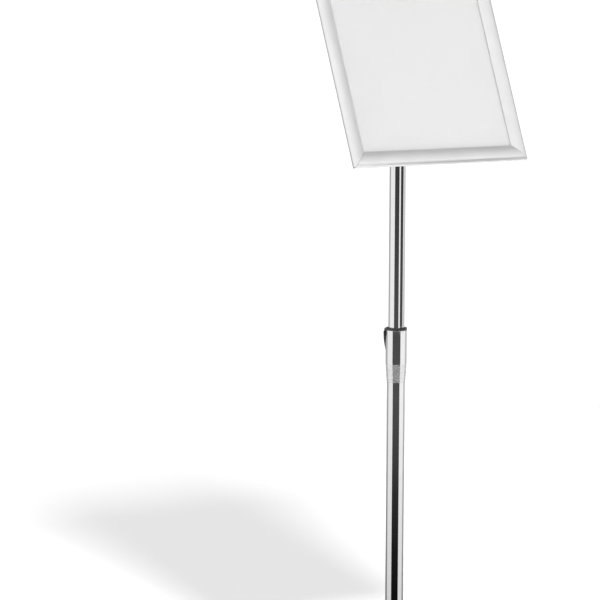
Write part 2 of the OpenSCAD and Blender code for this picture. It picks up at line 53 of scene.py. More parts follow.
joints = {j["name"]: j for j in frame["joints"]}
body_of = {n: b for b, nodes in frame["record"]["behaviour"]["bodies"].items() for n in nodes}


def half_width(node):
    """Half a node's width along X, in millimetres: the outer radius of a round one."""
    low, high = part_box(node)
    return (high.x - low.x) / 2 / MM


def z_range(node):
    """A node's lowest and highest Z, in millimetres."""
    low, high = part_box(node)
    return low.z / MM, high.z / MM


# ------------------------------------------------------------------ places, in mm

PIVOT = Vector(joints["frame_tilt"]["pos_m"])
FACING = Vector(joints["format_turn"]["axis"]).normalized()
UPWARD = Vector((0.0, FACING.z, -FACING.y))

HINGE_IN = 3.0
HINGE_UP = 3.2
left_hinge = (Vector(joints["left_lid_hinge"]["pos_m"]) - PIVOT) / MM
bottom_hinge = (Vector(joints["bottom_lid_hinge"]["pos_m"]) - PIVOT) / MM
FRAME_W = 2 * (HINGE_IN - left_hinge.x)
FRAME_H = 2 * (HINGE_IN - bottom_hinge.dot(UPWARD))
FRAME_BACK = left_hinge.dot(FACING) - HINGE_UP

UPPER_R = half_width("upper_tube")
LOWER_R = half_width("lower_tube")
SLEEVE_R = half_width("clamp_sleeve")
CAP_R = half_width("collar_cap")
CAP_TOP = z_range("collar_cap")[1]
CAP_BOTTOM = z_range("clamp_sleeve")[1]
LEVER_PIN = Vector(joints["lever_pivot"]["pos_m"]) / MM
TUBE_WALL = 1.2
SLEEVE_STRAIGHT = 52.5
SLEEVE_WINDOW_RISE = 43.1
COVER_SKIN = 1.2


# ------------------------------------------------------------------ shape helpers

def arc(centre, radius, start, end, steps):
    """Points on an arc, angles in degrees."""
    angles = [math.radians(start + (end - start) * i / steps) for i in range(steps + 1)]
    return [(centre[0] + radius * math.cos(a), centre[1] + radius * math.sin(a))
            for a in angles]


def rounded(corners, steps=4):
    """A closed outline from (x, y) points and (x, y, radius) corners, which are rounded."""
    outline = []
    for i, corner in enumerate(corners):
        here = Vector(corner[:2])
        radius = corner[2] if len(corner) > 2 else 0
        before = Vector(corners[i - 1][:2]) - here
        after = Vector(corners[(i + 1) % len(corners)][:2]) - here
        if not radius or before.length < 1e-6 or after.length < 1e-6:
            outline.append(tuple(here))
            continue
        half = before.angle(after) / 2
        back = min(radius / math.tan(half), before.length * 0.49, after.length * 0.49)
        radius = back * math.tan(half)
        middle = (before.normalized() + after.normalized()).normalized()
        centre = here + middle * radius / math.sin(half)
        first = here + before.normalized() * back - centre
        last = here + after.normalized() * back - centre
        turn = math.atan2(first.x * last.y - first.y * last.x, first.dot(last))
        base = math.atan2(first.y, first.x)
        outline += [(centre.x + radius * math.cos(base + turn * k / steps),
                     centre.y + radius * math.sin(base + turn * k / steps))
                    for k in range(steps + 1)]
    return outline


def inset(outline, distance):
    """A closed outline moved inwards, for the small chamfer at the end of a prism."""
    area = sum(a[0] * b[1] - b[0] * a[1] for a, b in zip(outline, outline[1:] + outline[:1]))
    side = 1 if area > 0 else -1
    moved = []
    for i, point in enumerate(outline):
        here = Vector(point)
        before = (here - Vector(outline[i - 1])).normalized()
        after = (Vector(outline[(i + 1) % len(outline)]) - here).normalized()
        normal = Vector((-(before.y + after.y), before.x + after.x)) * side
        if normal.length < 1e-6:
            moved.append(point)
            continue
        normal.normalize()
        lean = max(0.5, normal.dot(Vector((-after.y, after.x)) * side))
        moved.append(tuple(here + normal * distance / lean))
    return moved


def build(name, make, sharp=32):
    """A new object from a function that fills a bmesh in millimetres."""
    shape = bmesh.new()
    make(shape)
    bmesh.ops.remove_doubles(shape, verts=shape.verts, dist=1e-4)
    bmesh.ops.dissolve_degenerate(shape, edges=shape.edges, dist=1e-5)
    bmesh.ops.recalc_face_normals(shape, faces=shape.faces)
    bmesh.ops.scale(shape, vec=(MM, MM, MM), verts=shape.verts)
    mesh = bpy.data.meshes.new(name)
    shape.to_mesh(mesh)
    shape.free()
    piece = bpy.data.objects.new(name, mesh)
    bpy.context.scene.collection.objects.link(piece)
    smooth(piece, sharp)
    return piece


def smooth(piece, sharp=32):
    """Smooth shading that keeps large faces flat and edges sharper than the angle crisp."""
    piece.data.shade_smooth()
    piece.data.set_sharp_from_angle(angle=math.radians(sharp))
    weighted = piece.modifiers.new("normals", "WEIGHTED_NORMAL")
    weighted.keep_sharp = True
    weighted.weight = 100


def add_rings(shape, rings, closed=False, capped=True):
    """Join rings of equally many points with faces; closed joins the last to the first."""
    made = [[shape.verts.new(p) for p in ring] for ring in rings]
    pairs = list(zip(made, made[1:])) + ([(made[-1], made[0])] if closed else [])
    for a, b in pairs:
        for i in range(len(a)):
            j = (i + 1) % len(a)
            shape.faces.new((a[i], a[j], b[j], b[i]))
    if capped and not closed:
        shape.faces.new(list(reversed(made[0])))
        shape.faces.new(made[-1])


def lathe(name, outline, steps=128, lobes=None):
    """A turned solid from a closed (radius, z) outline. lobes maps an angle to a factor."""
    def make(shape):
        rings = []
        for i in range(steps):
            a = 2 * math.pi * i / steps
            k = lobes(a) if lobes else 1
            rings.append([(r * k * math.cos(a), r * k * math.sin(a), z) for r, z in outline])
        add_rings(shape, rings, closed=True)
    return build(name, make)


def prism(name, outline, low, high, edge=0.3):
    """An outline in X and Y, extruded along Z with a small chamfer at both ends."""
    small = inset(outline, edge)
    def make(shape):
        add_rings(shape, [[(x, y, low) for x, y in small],
                          [(x, y, low + edge) for x, y in outline],
                          [(x, y, high - edge) for x, y in outline],
                          [(x, y, high) for x, y in small]])
    return build(name, make)


def cut(piece, low, high):
    """Take a box, given by two corners in mm, out of a piece."""
    def make(shape):
        xs, ys, zs = zip(low, high)
        add_rings(shape, [[(xs[0], ys[0], z), (xs[1], ys[0], z), (xs[1], ys[1], z),
                           (xs[0], ys[1], z)] for z in zs])
    cutter = build("cutter", make)
    change = piece.modifiers.new("cut", "BOOLEAN")
    change.operation = "DIFFERENCE"
    change.solver = "EXACT"
    change.object = cutter
    piece.modifiers.remove(piece.modifiers["normals"])
    bpy.context.view_layer.update()
    graph = bpy.context.evaluated_depsgraph_get()
    mesh = bpy.data.meshes.new_from_object(piece.evaluated_get(graph))
    piece.modifiers.clear()
    piece.data = mesh
    smooth(piece)
    bpy.data.objects.remove(cutter)
    return piece


ALONG_X = Matrix.Rotation(math.pi / 2, 4, "Y")


def across(angle=0.0):
    """Stand a turned or extruded piece on the X axis, turned by an angle about it."""
    return Matrix.Rotation(math.radians(angle), 4, "X") @ ALONG_X


def frame_place(z=0.0):
    """The sign frame's own space: origin at the pivot, Y up the frame, Z out of its face."""
    axes = Matrix((Vector((1, 0, 0)), UPWARD, FACING)).transposed().to_4x4()
    return Matrix.Translation(PIVOT) @ axes @ Matrix.Translation((0, 0, z * MM))


def put(piece, material, *nodes, place=None):
    """Place a piece, give it its material and let it stand for CAD nodes of one body."""
    if place is not None:
        piece.matrix_world = place
    piece.data.materials.clear()
    piece.data.materials.append(material)
    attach(piece, body_of[nodes[0]])
    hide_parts(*nodes)
    return piece


def add_to(piece, material, node, place=None):
    """Place a further piece on a CAD node's body, beside the one that replaces it."""
    if place is not None:
        piece.matrix_world = place
    piece.data.materials.clear()
    piece.data.materials.append(material)
    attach(piece, body_of[node])
    return piece


def paint(material, *nodes):
    """Give CAD nodes that keep their shape their finished material."""
    for node in nodes:
        mesh = frame["nodes"][node].data
        mesh.materials.clear()
        mesh.materials.append(material)


# ------------------------------------------------------------------ materials

class Finish:
    """A node material with one Principled shader and helpers for its texture nodes."""

    def __init__(self, name, colour, metallic=0.0, roughness=0.5):
        self.material = bpy.data.materials.new(name)
        self.material.use_nodes = True
        self.nodes = self.material.node_tree.nodes
        self.links = self.material.node_tree.links
        self.shader = self.nodes["Principled BSDF"]
        self.shader.inputs["Base Color"].default_value = (*colour, 1)
        self.shader.inputs["Metallic"].default_value = metallic
        self.shader.inputs["Roughness"].default_value = roughness
        coordinates = self.nodes.new("ShaderNodeTexCoord")
        self.place = coordinates.outputs["Object"]

    def set(self, **values):
        for name, value in values.items():
            self.shader.inputs[name.replace("_", " ")].default_value = value
        return self

    def stretched(self, scale):
        """Object coordinates scaled by a vector, for streaks along one axis."""
        mapping = self.nodes.new("ShaderNodeMapping")
        mapping.inputs["Scale"].default_value = scale
        self.links.new(self.place, mapping.inputs["Vector"])
        return mapping.outputs["Vector"]

    def noise(self, scale, detail=3.0, vector=None):
        texture = self.nodes.new("ShaderNodeTexNoise")
        texture.inputs["Scale"].default_value = scale
        texture.inputs["Detail"].default_value = detail
        self.links.new(vector or self.place, texture.inputs["Vector"])
        return texture.outputs["Fac"]

    def between(self, value, low, high):
        """Map a 0.3 to 0.7 noise value onto a range."""
        ranged = self.nodes.new("ShaderNodeMapRange")
        ranged.inputs["From Min"].default_value = 0.3
        ranged.inputs["From Max"].default_value = 0.7
        ranged.inputs["To Min"].default_value = low
        ranged.inputs["To Max"].default_value = high
        self.links.new(value, ranged.inputs["Value"])
        return ranged.outputs["Result"]

    def rough(self, value, low, high):
        self.links.new(self.between(value, low, high), self.shader.inputs["Roughness"])
        return self

    def tint(self, value, dark, light):
        """Vary the base colour between two greys or colours with a noise value."""
        ramp = self.nodes.new("ShaderNodeValToRGB")
        ramp.color_ramp.elements[0].position = 0.3
        ramp.color_ramp.elements[0].color = (*dark, 1)
        ramp.color_ramp.elements[1].position = 0.7
        ramp.color_ramp.elements[1].color = (*light, 1)
        self.links.new(value, ramp.inputs["Fac"])
        self.links.new(ramp.outputs["Color"], self.shader.inputs["Base Color"])
        return self

    def bump(self, value, strength, distance):
        node = self.nodes.new("ShaderNodeBump")
        node.inputs["Strength"].default_value = strength
        node.inputs["Distance"].default_value = distance
        self.links.new(value, node.inputs["Height"])
        self.links.new(node.outputs["Normal"], self.shader.inputs["Normal"])
        return self


def grey(value):
    return (value, value, value)


def chrome(name, tone, metallic, low, high):
    """Chrome plate, with faint patches of polish."""
    finish = Finish(name, grey(tone), metallic, high)
    patches = finish.noise(60, 4)
    finish.tint(patches, grey(tone - 0.015), grey(tone + 0.01))
    return finish.rough(patches, low, high).material


def anodised(name, low, high, metallic, roughness):
    """Satin anodised extrusion: fine die lines along the object's own X axis."""
    finish = Finish(name, grey(high), metallic, roughness)
    lines = finish.noise(900, 4, finish.stretched((0.012, 1, 1)))
    cloud = finish.noise(25, 3)
    finish.tint(cloud, grey(low), grey(high))
    finish.rough(lines, roughness - 0.05, roughness + 0.06)
    return finish.bump(lines, 0.12, 0.00004).material


def moulded(name, low, high, roughness=0.45):
    """Moulded plastic with a fine spark-eroded texture."""
    finish = Finish(name, grey(high), 0.0, roughness)
    grain = finish.noise(2600, 2)
    finish.tint(finish.noise(120, 3), grey(low), grey(high))
    finish.rough(finish.noise(300, 3), roughness - 0.06, roughness + 0.08)
    return finish.bump(grain, 0.25, 0.00006).set(Specular_IOR_Level=0.5).material


def powder_coat(name, colour, metallic, roughness):
    """Powder coat with orange peel and fine metallic flake."""
    finish = Finish(name, colour, metallic, roughness)
    flake = finish.noise(5200, 1)
    finish.tint(flake, tuple(c * 0.9 for c in colour), tuple(c * 1.06 for c in colour))
    finish.rough(finish.noise(700, 2), roughness - 0.06, roughness + 0.06)
    return finish.bump(finish.noise(420, 3), 0.18, 0.00012).material


def zinc():
    """Bright zinc plate with a mottled passivation."""
    finish = Finish("zinc_plate", (0.62, 0.63, 0.64), 1.0, 0.3)
    finish.tint(finish.noise(400, 4), (0.52, 0.53, 0.54), (0.68, 0.69, 0.7))
    finish.rough(finish.noise(900, 3), 0.22, 0.42)
    return finish.bump(finish.noise(1800, 2), 0.08, 0.00003).material


def rolled_steel():
    finish = Finish("rolled_steel", grey(0.32), 1.0, 0.5)
    scale = finish.noise(60, 6)
    finish.tint(scale, grey(0.2), grey(0.38))
    finish.rough(scale, 0.42, 0.62)
    return finish.bump(finish.noise(900, 3), 0.1, 0.00005).material


def brass():
    finish = Finish("turned_brass", (0.78, 0.6, 0.3), 1.0, 0.28)
    finish.tint(finish.noise(500, 3), (0.7, 0.52, 0.25), (0.82, 0.64, 0.34))
    return finish.rough(finish.noise(1200, 2), 0.2, 0.36).material


def rubber(name, low, high):
    finish = Finish(name, grey(high), 0.0, 0.8)
    finish.tint(finish.noise(500, 4), grey(low), grey(high))
    return finish.bump(finish.noise(1500, 3), 0.35, 0.0001).material


def card():
    """White card stock with the faintest fibre."""
    finish = Finish("white_card", grey(0.67), 0.0, 0.85)
    fibre = finish.noise(1400, 5)
    finish.tint(fibre, grey(0.655), grey(0.685))
    return finish.bump(fibre, 0.05, 0.00003).material


def clear_film():
    """Clear anti-glare film: mostly see-through, with a soft sheen."""
    finish = Finish("anti_glare_film", grey(0.9), 0.0, 0.35)
    finish.set(Alpha=0.16, IOR=1.49)
    finish.rough(finish.noise(30, 2), 0.3, 0.38)
    finish.bump(finish.noise(3500, 1), 0.05, 0.00002)
    finish.material.blend_method = "BLEND"
    return finish.material


CHROME = chrome("bright_chrome", 0.68, 1.0, 0.03, 0.07)
# A darker, less metallic and rougher copy of the bright chrome for the sleeve's cone: the darker tone and lower
# metallic are painted shade.
SHADED_CHROME = chrome("shaded_chrome", 0.56, 0.76, 0.08, 0.14)
LID_METAL = anodised("anodised_lid", 0.66, 0.7, 0.65, 0.34)
# A darker, less metallic copy of the lid metal for the base profiles that sit under the lids: painted shade.
SHADED_RAIL_METAL = anodised("anodised_rail", 0.61, 0.65, 0.5, 0.4)
BLACK_PLASTIC = moulded("black_moulding", 0.012, 0.02)
WHITE_PLASTIC = moulded("white_moulding", 0.76, 0.82)
BACK_PLASTIC = moulded("back_sheet", 0.55, 0.6, 0.6)
SILVER_PAINT = powder_coat("silver_powder_coat", (0.6, 0.61, 0.62), 0.65, 0.42)
DARK_CASTING = powder_coat("dark_powder_coat", (0.035, 0.036, 0.038), 0.2, 0.45)
ZINC = zinc()
ROLLED_STEEL = rolled_steel()
BRASS = brass()
FOOT_RUBBER = rubber("foot_rubber", 0.015, 0.03)
BRAKE_RUBBER = rubber("brake_rubber", 0.03, 0.05)
CARD = card()
FILM = clear_film()


# ------------------------------------------------------------------ sign frame

RAIL_W = 25.0
DOME_X = 8.0
DOME_H = 10.0
DOME_R = 9.5
FLAT_R = 30.39
LID_T = 1.3
LIP_H = 3.9
BEAD_R = 1.2
SOCKET_R = 2.3
SOCKET_BORE = BEAD_R + 0.06
NECK_ANGLE = 60.0
EDGE_ANGLE = 140.0
MITRE_GAP = 0.15
CORNER_TRIM = 1.6
BEAD_SETBACK = 7.0
SIDES = {"bottom": 0, "right": 90, "top": 180, "left": 270}


def on_circle(angle, centre, radius):
    """Where a ray from the hinge centre at an angle leaves a circle, as the circle's angle."""
    ray = Vector((math.cos(math.radians(angle)), math.sin(math.radians(angle))))
    offset = Vector((HINGE_IN, HINGE_UP)) - Vector(centre)
    b = offset.dot(ray)
    reach = -b + math.sqrt(b * b - offset.length_squared + radius * radius)
    point = offset + ray * reach
    return math.degrees(math.atan2(point.y, point.x))


def lid_section():
    """The domed skin with its rounded lip and edge, and the snap leg underneath."""
    tight = (DOME_X, DOME_H - DOME_R)
    flat = (DOME_X, DOME_H - FLAT_R)
    lip_angle = math.degrees(math.acos((RAIL_W - DOME_X) / FLAT_R))
    inner_r = FLAT_R - LID_T
    underside = math.degrees(math.asin((LIP_H - flat[1]) / inner_r))
    leg_x = (10.2, 9.2)
    leg_top = [math.degrees(math.acos((x - DOME_X) / inner_r)) for x in leg_x]
    outer = arc(tight, DOME_R, on_circle(EDGE_ANGLE, tight, DOME_R), 90, 18)
    outer += arc(flat, FLAT_R, 90, lip_angle, 24)[1:-1]
    lip = [(RAIL_W, flat[1] + FLAT_R * math.sin(math.radians(lip_angle)), 0.35),
           (RAIL_W, LIP_H, 0.15)]
    inner = arc(flat, inner_r, underside, leg_top[0], 18)
    leg = [(leg_x[0], 4.8, 0.3), (leg_x[1], 4.8, 0.3)]
    back = arc(flat, inner_r, leg_top[1], 90, 2)
    back += arc(tight, DOME_R - LID_T, 90, on_circle(EDGE_ANGLE, tight, DOME_R - LID_T), 14)[1:]
    corners = [(*outer[0], 0.4)] + outer[1:] + lip + inner + leg + back[:-1]
    return rounded(corners + [(*back[-1], 0.3)])


def rail_section():
    """The base profile: floor, hinge socket and the wall that stops the sheets."""
    hinge = (HINGE_IN, HINGE_UP)
    floor_t, wall = 1.3, (11.8, 13.0)
    corners = [(1.85, 0, 0.35), (22, 0, 0.3), (22, floor_t, 0.3), (wall[1], floor_t),
               (wall[1], 4.4, 0.3), (wall[0], 4.4, 0.3), (wall[0], floor_t)]
    corners += [(4.4, floor_t)] + arc(hinge, SOCKET_R, -52.5, 29, 10)
    corners += arc(hinge, SOCKET_BORE, 29, -169, 22) + arc(hinge, SOCKET_R, 191, 240, 6)
    return rounded(corners)


def bead_section():
    """The round bead that turns in the socket, and the neck that carries it."""
    hinge = Vector((HINGE_IN, HINGE_UP))
    half = math.degrees(math.asin(0.55 / BEAD_R))
    ray = Vector((math.cos(math.radians(NECK_ANGLE)), math.sin(math.radians(NECK_ANGLE))))
    side = Vector((-ray.y, ray.x)) * 0.55
    bead = arc(hinge, BEAD_R, NECK_ANGLE + half, NECK_ANGLE - half + 360, 24)
    return bead + [tuple(hinge + ray * 6.3 - side), tuple(hinge + ray * 6.3 + side)]


def rail_bar(name, section, length, gap, trim, square_end=None, edge=0.2):
    """A section swept along X, with its ends mitred, or cut square at a given half length."""
    small = inset(section, edge)

    def reach(x, back):
        if square_end is not None:
            return square_end - back
        return length / 2 - max(x, trim) - gap - back

    def make(shape):
        rings = []
        for outline, back, side in ((small, 0, -1), (section, edge, -1),
                                    (section, edge, 1), (small, 0, 1)):
            rings.append([(side * reach(x, back), x, y) for x, y in outline])
        add_rings(shape, rings)
    return build(name, make, sharp=28)


def side_place(side):
    """Where a bar made along X goes for one side of the frame."""
    out = FRAME_H / 2 if side in ("bottom", "top") else FRAME_W / 2
    turn = Matrix.Rotation(math.radians(SIDES[side]), 4, "Z")
    return frame_place(FRAME_BACK) @ turn @ Matrix.Translation((0, -out * MM, 0))


def sign_frame():
    lid_shape, rail_shape, bead_shape = lid_section(), rail_section(), bead_section()
    for side in SIDES:
        length = FRAME_W if side in ("bottom", "top") else FRAME_H
        place = side_place(side)
        skin = rail_bar(f"{side}_lid_skin", lid_shape, length, MITRE_GAP, CORNER_TRIM)
        put(skin, LID_METAL, f"lid_{side}", place=place)
        bead = rail_bar(f"{side}_lid_bead", bead_shape, length, 0, 0,
                        square_end=length / 2 - BEAD_SETBACK)
        add_to(bead, LID_METAL, f"lid_{side}", place=place)
        # The base profile takes the darker copy of the lid metal: painted shade along the frame's edge.
        rail = rail_bar(f"{side}_base_profile", rail_shape, length, 0.03, 0)
        put(rail, SHADED_RAIL_METAL, f"base_rail_{side}", place=place)
    paint(CARD, "poster_sheet")
    paint(FILM, "cover_sheet")
    paint(BACK_PLASTIC, "back_panel")
    paint(ZINC, "corner_brackets", "snap_springs", "plate_rivets")


# ------------------------------------------------------------------ head of the mast

def ring_outline(inner, outer, low, high, edge):
    return rounded([(inner, low, edge), (outer, low, edge), (outer, high, edge),
                    (inner, high, edge)])


def disc_outline(outer, low, high, edge):
    return rounded([(0, low), (outer, low, edge), (outer, high, edge), (0, high)])


def mast_head():
    tube_top = z_range("upper_tube")[1]
    pivot_z = PIVOT.z / MM
    collar = lathe("mast_head_collar", rounded([
        (0, tube_top - 32), (11.2, tube_top - 32, 0.5), (11.2, tube_top), (13, tube_top, 0.5),
        (13, tube_top + 6, 1.2), (0, tube_top + 6)]), 96)
    put(collar, DARK_CASTING, "mast_head")
    half_depth, round_r = 9.0, 12.0
    meet = math.degrees(math.asin(half_depth / round_r))
    base = tube_top + 4 - pivot_z
    side = arc((0, 0), round_r, -90 + meet, 270 - meet, 40)
    outline = rounded([(-half_depth, base), (half_depth, base)] + side)
    tongue = prism("mast_head_tongue", [(-y, x) for x, y in outline], -5, 5, 0.5)
    place = Matrix.Translation(PIVOT) @ across()
    add_to(tongue, DARK_CASTING, "mast_head", place=place)
    pin_z = (tube_top - 16) * MM
    pin = lathe("head_cross_pin_domed", rounded([
        (0, -12.62), (1.2, -12.6, 0.3), (2, -12.4, 0.2), (2, 12.4, 0.2), (1.2, 12.6, 0.3),
        (0, 12.62)]), 40)
    put(pin, ZINC, "head_cross_pin", place=Matrix.Translation((0, 0, pin_z)) @ across())


def tilt_head():
    place = frame_place()
    hub = lathe("yoke_hub", rounded([
        (0, 15), (14, 15, 0.5), (16, 16, 1), (32, 16, 1), (32, 20, 0.6), (6, 20), (6, 24.3, 0.4),
        (0, 24.3)]))
    put(hub, DARK_CASTING, "tilt_yoke", place=place)
    outline = rounded([(-12, 17)] + arc((0, 0), 12, 180, 360, 40) + [(12, 17)])
    for side, low in (("left", -10), ("right", 6)):
        cheek = prism(f"yoke_cheek_{side}", [(-y, x) for x, y in outline], low, low + 4, 0.6)
        add_to(cheek, DARK_CASTING, "tilt_yoke", place=place @ across())
    bolt_side = Matrix.Rotation(math.pi, 4, "Y")
    head = prism("tilt_bolt_head", rounded([
        (7.5 * math.cos(math.radians(a)), 7.5 * math.sin(math.radians(a)), 0.4)
        for a in range(0, 360, 60)], 2), 10, 15.5, 0.7)
    put(head, ZINC, "tilt_bolt", place=place @ bolt_side @ across())
    shank = lathe("tilt_bolt_shank", disc_outline(4, -10, 21, 0.6), 64)
    add_to(shank, ZINC, "tilt_bolt", place=place @ across())
    paint(WHITE_PLASTIC, "friction_washers", "turn_friction_washer")
    paint(ZINC, "knob_washer", "turn_stop_pin", "turn_screw", "turn_washer")
    plate = lathe("turn_plate_turned", rounded([
        (6.05, 21), (32, 21, 0.8), (32, 25.8, 1.5), (46, 25.8, 0.8), (48, 27, 0.5), (48, 28.3),
        (15, 28.3), (15, 24.2), (6.05, 24.2)]))
    put(plate, DARK_CASTING, "turn_plate", place=place)


def knob():
    lobes = 5
    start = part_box("tilt_knob")[0].x / MM

    def lobe(angle):
        return 1 + 0.14 * math.cos(lobes * angle)

    neck = lathe("knob_neck", rounded([
        (6.1, 0), (9, 0, 0.6), (9, 5.4), (6.1, 5.4)]), 64)
    head = lathe("knob_head", rounded([
        (0, 5), (11, 5, 1.5), (12.9, 7.5, 2), (12.9, 14, 2.5), (11.2, 17.6, 1.5), (7.5, 18, 0.4),
        (6.6, 17.2, 0.4), (0, 17.2)]), 160, lobe)
    place = frame_place() @ Matrix.Translation((start * MM, 0, 0)) @ across()
    put(head, BLACK_PLASTIC, "tilt_knob", place=place)
    add_to(neck, BLACK_PLASTIC, "tilt_knob", place=place)
    paint(BRASS, "knob_insert")


# ------------------------------------------------------------------ tubes and clamp

def tubes():
    for node in ("upper_tube", "lower_tube"):
        low, high = z_range(node)
        outer = half_width(node)
        section = ring_outline(outer - TUBE_WALL, outer, low, high, 0.25)
        tube = lathe(f"{node}_drawn", section, 160)
        put(tube, CHROME, node)


def clamp():
    bottom, top = z_range("clamp_sleeve")
    shoulder = top - SLEEVE_STRAIGHT
    bore_r = LOWER_R + 0.05
    sleeve = lathe("clamp_sleeve_turned", rounded([
        (bore_r, shoulder), (SLEEVE_R - 0.12, shoulder), (SLEEVE_R, shoulder + 2, 3),
        (SLEEVE_R, top, 0.3), (bore_r, top)], 8), 160)
    cut(sleeve, (-5, 5, shoulder + SLEEVE_WINDOW_RISE), (5, 30, top + 5))
    put(sleeve, CHROME, "clamp_sleeve")
    # The cone takes the darker, less metallic copy of the chrome: painted shade on the cone.
    cone = lathe("clamp_sleeve_cone", rounded([
        (bore_r, bottom), (bore_r + 0.4, bottom, 0.2), (SLEEVE_R - 0.12, shoulder),
        (bore_r, shoulder)]), 160)
    add_to(cone, SHADED_CHROME, "clamp_sleeve")

    guide_r = UPPER_R + 0.06
    low = z_range("collar_cap")[0]
    cap = lathe("collar_cap_moulded", rounded([
        (guide_r, low, 0.3), (LOWER_R, low, 0.3), (LOWER_R, CAP_BOTTOM), (CAP_R, CAP_BOTTOM, 0.4),
        (CAP_R, CAP_TOP, 1), (guide_r, CAP_TOP, 0.5)], 6), 160)
    cut(cap, (-5, 15, CAP_TOP - 11), (5, 30, CAP_TOP - 1.6))
    put(cap, BLACK_PLASTIC, "collar_cap")
    ear = rounded([(14.8, LEVER_PIN.z + 2.7), (14.8, CAP_BOTTOM + 0.1),
                   (LEVER_PIN.y - 2.5, CAP_BOTTOM + 0.1)]
                  + arc((LEVER_PIN.y, LEVER_PIN.z), 2.7, -190, 90, 24))
    for side, start in (("left", -8.2), ("right", 5.0)):
        lug = prism(f"collar_ear_{side}", [(-z, y) for y, z in ear], start, start + 3.2, 0.35)
        add_to(lug, BLACK_PLASTIC, "collar_cap", place=across())
    pin = lathe("lever_pin_domed", rounded([
        (0, -8.35), (0.9, -8.3, 0.2), (1.25, -8.0, 0.2), (1.25, 8.0, 0.2), (0.9, 8.3, 0.2),
        (0, 8.35)]), 32)
    place = Matrix.Translation((0, LEVER_PIN.y * MM, LEVER_PIN.z * MM)) @ across()
    put(pin, ZINC, "lever_pin", place=place)
    paint(WHITE_PLASTIC, "guide_bush", "lower_guide_plug")
    paint(ZINC, "brake_shoe")
    paint(BRAKE_RUBBER, "brake_pad")


def lever():
    """The cam lever: a tapering tongue that wraps the back of the sleeve."""
    low, top = CAP_TOP - 43, CAP_TOP - 3.6
    inner_r, head_r, toe_r = SLEEVE_R + 0.4, 20.0, 18.3
    tip_x, neck_x, neck_z = 6.0, 16.0, CAP_TOP - 11
    spread = 66.0
    notch_z = CAP_TOP - 7.8
    pin_half, notch_half = 4.7, 8.6

    def reach(z):
        """Half the tongue's angle at a height, with a rounded tip."""
        rise = min(1.0, (z - low) / 5)
        tip = tip_x * math.sqrt(rise * (2 - rise)) + 0.5
        x = tip + (neck_x - tip_x) * max(0.0, z - low) / (neck_z - low)
        full = math.radians(spread)
        angle = math.asin(min(1.0, x / toe_r))
        return full if z > neck_z else min(full, angle)

    def make(shape):
        rings = []
        heights = [low + 5 * (1 - math.cos(math.radians(a))) for a in range(0, 90, 10)]
        heights += [low + 5 + (top - 3.4 - low - 5) * i / 24 for i in range(25)]
        walls = [(z, toe_r + (head_r - toe_r) * (z - low) / (top - 3.4 - low)) for z in heights]
        walls += [(top - 2.9, head_r - 0.05), (top - 2.4, head_r - 0.35),
                  (top - 1.6, head_r - 1.15), (top - 0.7, inner_r + 1.2),
                  (top - 0.2, inner_r + 0.75), (top, inner_r + 0.4)]
        for z, outer in walls:
            half = reach(z)
            edge = 0.35 / outer
            ring = []
            for i in range(49):
                t = 2 * i / 48 - 1
                r = outer - 0.35 * max(0.0, (abs(t) - 0.96) / 0.04) ** 2
                a = math.pi / 2 - half * t
                ring.append((r * math.cos(a), r * math.sin(a), z))
            for i in range(49):
                a = math.pi / 2 - (half - edge) * (1 - 2 * i / 48)
                ring.append((inner_r * math.cos(a), inner_r * math.sin(a), z))
            rings.append(ring)
        add_rings(shape, rings)

    paddle = build("lever_paddle", make, sharp=40)
    for side in (-1, 1):
        xs = sorted((side * pin_half, side * notch_half))
        cut(paddle, (xs[0], 0, notch_z), (xs[1], 30, top + 5))
    put(paddle, BLACK_PLASTIC, "clamp_lever")
    pivot = (LEVER_PIN.y, LEVER_PIN.z)
    neck = rounded([(inner_r + 0.1, notch_z - 2), (19.4, notch_z - 2, 1),
                    (21, pivot[1] - 0.9, 1)] + arc(pivot, 2.6, 0, 150, 16)
                   + arc((pivot[0] - 1.45, pivot[1]), 1.8, 150, 230, 8)
                   + [(inner_r + 0.1, pivot[1] - 2, 0.5)])
    knuckle = prism("lever_knuckle", [(-z, y) for y, z in neck], -pin_half, pin_half, 0.4)
    add_to(knuckle, BLACK_PLASTIC, "clamp_lever", place=across())
    for k in range(4):
        z = low + 9 + 4 * k
        rib_r = toe_r + (head_r - toe_r) * (z - low) / (top - 3.4 - low)
        rib = arc_rib(f"lever_grip_{k + 1}", rib_r, z, 74 - 2 * k, 106 + 2 * k)
        add_to(rib, BLACK_PLASTIC, "clamp_lever")


def arc_rib(name, radius, z, start, end):
    """A slim raised rib round part of a curved wall, tapering away at both ends."""
    def make(shape):
        steps, around = 40, 10
        rings = []
        for i in range(steps + 1):
            t = i / steps
            a = math.radians(start + (end - start) * t)
            swell = 0.15 + 0.85 * math.sin(math.pi * t) ** 0.35
            ring = []
            for k in range(around):
                b = 2 * math.pi * k / around
                r = radius + 0.42 * swell * math.cos(b)
                ring.append((r * math.cos(a), r * math.sin(a), z + 0.7 * swell * math.sin(b)))
            rings.append(ring)
        add_rings(shape, rings)
    return build(name, make)


# ------------------------------------------------------------------ base

def square_ring(half, corner, z, count=96):
    """A round-cornered square as a ring of points, evenly spread over its corners."""
    per = count // 4
    ring = []
    for quarter in range(4):
        turn = math.radians(90 * quarter)
        for k in range(per):
            a = math.radians(90 * k / (per - 1))
            x, y = half - corner + corner * math.cos(a), half - corner + corner * math.sin(a)
            ring.append((x * math.cos(turn) - y * math.sin(turn),
                         x * math.sin(turn) + y * math.cos(turn), z))
    return ring


def circle_ring(radius, z, count=96):
    per = count // 4
    ring = []
    for quarter in range(4):
        for k in range(per):
            a = math.radians(90 * quarter + 90 * k / (per - 1) * (1 - 1e-3))
            ring.append((radius * math.cos(a), radius * math.sin(a), z))
    return ring


